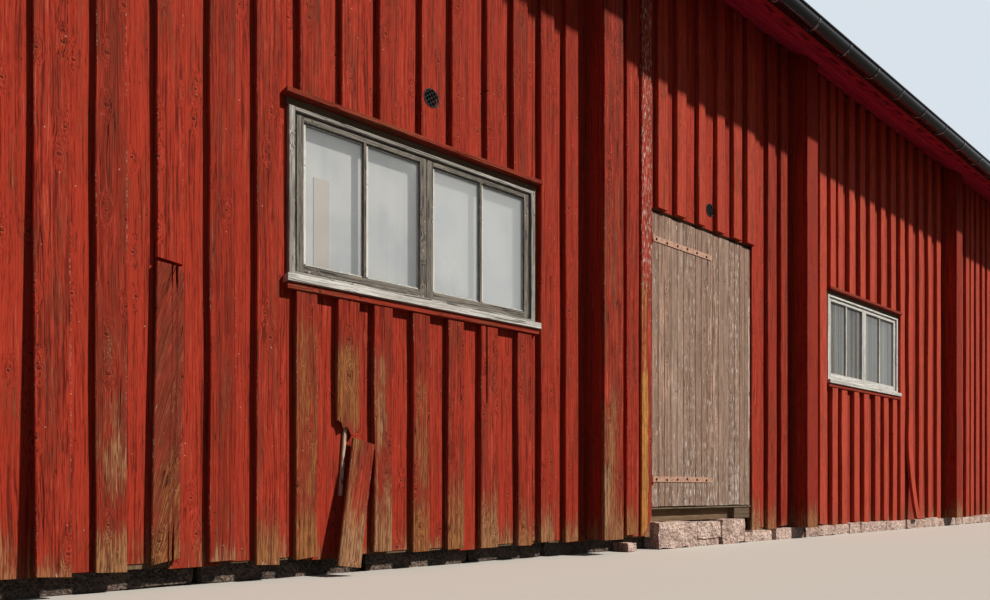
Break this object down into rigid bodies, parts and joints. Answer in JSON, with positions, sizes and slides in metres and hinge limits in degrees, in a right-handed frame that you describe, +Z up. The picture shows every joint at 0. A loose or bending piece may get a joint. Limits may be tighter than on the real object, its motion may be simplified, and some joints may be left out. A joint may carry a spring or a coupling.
{
  "type": "red timber barn",
  "caption": "Long low red timber barn with board-on-board walls between pilasters, a side-hung plank door, casement windows, tiled gable roof and half-round gutters.",
  "frame": {"origin": "middle of the footprint at ground level", "axes": "+X along the long walls, -Y out of the front wall that holds the door, +Z up"},
  "size_m": [16.404, 9.303, 7.1493],
  "materials": {
    "granite": "rough split",
    "bare_timber": "sawn",
    "red_boards": "sawn, iron-oxide painted",
    "red_pilasters": "sawn, iron-oxide painted",
    "red_trim": "sawn, iron-oxide painted",
    "soffit_paint": "painted boards",
    "clay_tile": "fired clay",
    "gutter_steel": "black coated sheet",
    "window_paint": "flaking white paint",
    "window_glass": "plain",
    "vent_iron": "black",
    "door_boards": "weathered, worn paint",
    "hinge_iron": "worn paint",
    "pintle_iron": "painted"
  },
  "bodies": {
    "barn": {"plinth_front": "granite", "plinth_back": "granite", "plinth_gables": "granite", "door_step_stones": "granite", "footing_stones": "granite", "sill_beams_long": "bare_timber", "sill_beams_gable": "bare_timber", "floor_planks": "bare_timber", "front_wall_left_bay": "red_boards", "front_wall_window_bay_1": "red_boards", "front_wall_left_of_door": "red_boards", "front_wall_right_of_door": "red_boards", "front_wall_over_door": "red_boards", "front_wall_window_bay_2": "red_boards", "front_wall_right_bay": "red_boards", "back_wall": "red_boards", "gable_left": "red_boards", "gable_right": "red_boards", "front_pilasters": "red_pilasters", "back_pilasters": "red_pilasters", "gable_pilasters": "red_pilasters", "wall_plates": "bare_timber", "tie_beams": "bare_timber", "rafters": "bare_timber", "ridge_board": "bare_timber", "roof_deck_front": "bare_timber", "roof_deck_back": "bare_timber", "eave_soffits": "soffit_paint", "fascia_boards": "red_trim", "verge_boards_front": "red_trim", "verge_boards_back": "red_trim", "roof_tiles_front": "clay_tile", "roof_tiles_back": "clay_tile", "ridge_tiles": "clay_tile", "gutter_front": "gutter_steel", "gutter_back": "gutter_steel", "gutter_brackets": "gutter_steel", "window_frames": "window_paint", "window_casements": "window_paint", "window_glass": "window_glass", "window_drip_boards": "red_trim", "window_sills": "window_paint", "vent_grilles": "vent_iron", "door_jambs": "bare_timber", "door_head": "bare_timber", "door_threshold": "bare_timber", "hinge_pintles": "pintle_iron"},
    "plank_door": {"door_boards": "door_boards", "door_ledges": "door_boards", "strap_hinges": "hinge_iron"}
  },
  "joints": [
    {"name": "door_hinge", "type": "hinge", "parent": "barn", "child": "plank_door", "pos_m": [-1.162, -4.01905, 1.323], "axis": [0, 0, -1], "range_deg": [0, 150]}
  ]
}
